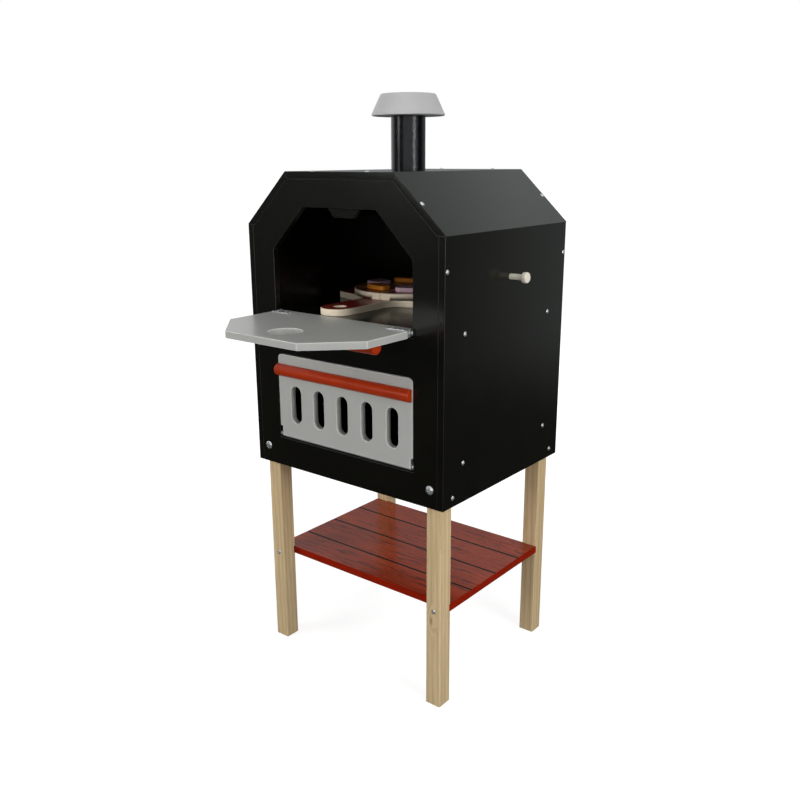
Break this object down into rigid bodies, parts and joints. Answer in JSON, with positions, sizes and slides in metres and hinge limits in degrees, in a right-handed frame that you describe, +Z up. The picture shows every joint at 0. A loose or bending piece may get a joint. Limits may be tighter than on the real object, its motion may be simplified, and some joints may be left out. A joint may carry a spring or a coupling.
{
  "type": "toy oven",
  "caption": "Free-standing wooden toy pizza oven with a drop-down door, a slotted firebox flap, a chimney, a shelf, a hanging peg, a peel and a sliced pizza.",
  "frame": {"origin": "on the floor, under the middle of the cabinet and of the four legs", "axes": "+X to the right of someone who faces the front, +Y from the front to the back, +Z up"},
  "size_m": [0.4657, 0.5556, 1.0312],
  "materials": {
    "black_paint": "satin black paint on board",
    "black_pipe": "gloss black paint",
    "bare_board": "unpainted fibreboard",
    "pine": "planed pine, clear matt lacquer",
    "beech": "turned beech, clear lacquer",
    "red_shelf": "red-brown lacquer with a dark printed grain",
    "red_rod": "orange-red lacquer",
    "grey_paint": "satin grey paint",
    "steel_screws": "bright zinc plate",
    "steel_hinges": "bright nickel plate",
    "peel_wood": "dark red lacquered face, pale bare edges",
    "pizza_wood": "bare plywood with a printed face",
    "purple_wood": "matt mauve paint",
    "orange_wood": "matt orange paint"
  },
  "bodies": {
    "root": {"front_panel": "black_paint", "back_panel": "black_paint", "left_side_panel": "black_paint", "right_side_panel": "black_paint", "left_roof_panel": "black_paint", "right_roof_panel": "black_paint", "top_panel": "black_paint", "oven_floor": "bare_board", "firebox_floor": "bare_board", "door_stop": "black_paint", "flap_stop": "black_paint", "stop_screws": "steel_screws", "front_left_leg": "pine", "front_right_leg": "pine", "back_left_leg": "pine", "back_right_leg": "pine", "shelf": "red_shelf", "leg_bolts": "steel_screws", "side_leg_screws": "steel_screws", "side_panel_screws": "steel_screws", "floor_screws": "steel_screws", "roof_screws": "steel_screws", "shelf_screws": "steel_screws", "chimney_pipe": "black_pipe", "chimney_plug": "bare_board", "chimney_cap": "grey_paint", "chimney_screws": "steel_screws", "hanging_peg": "beech", "door_bushes": "steel_hinges", "flap_bushes": "steel_hinges"},
    "oven_door": {"door_panel": "grey_paint", "door_handle": "red_rod", "door_brackets": "steel_hinges", "door_hinge_pins": "steel_hinges", "door_bracket_screws": "steel_screws"},
    "firebox_flap": {"flap_panel": "grey_paint", "flap_handle": "red_rod", "flap_brackets": "steel_hinges", "flap_hinge_pins": "steel_hinges", "flap_bracket_screws": "steel_screws"},
    "peel": {"peel": "peel_wood"},
    "pizza": {"pizza_slice_1": "pizza_wood", "pizza_slice_2": "pizza_wood", "pizza_slice_3": "pizza_wood", "pizza_slice_4": "pizza_wood", "pizza_slice_5": "pizza_wood", "pizza_slice_6": "pizza_wood", "purple_toppings": "purple_wood", "orange_toppings": "orange_wood"}
  },
  "joints": [
    {"name": "oven_door_hinge", "type": "hinge", "parent": "root", "child": "oven_door", "pos_m": [0, -0.1803, 0.66], "axis": [-1, 0, 0], "range_deg": [0, 90]},
    {"name": "firebox_flap_hinge", "type": "hinge", "parent": "root", "child": "firebox_flap", "pos_m": [0, -0.1803, 0.4365], "axis": [1, 0, 0], "range_deg": [0, 90]},
    {"name": "peel_lift", "type": "slide", "parent": "root", "child": "peel", "axis": [0, 0, 1], "range_m": [0, 0.03]},
    {"name": "pizza_lift", "type": "slide", "parent": "peel", "child": "pizza", "axis": [0, 0, 1], "range_m": [0, 0.04]}
  ]
}
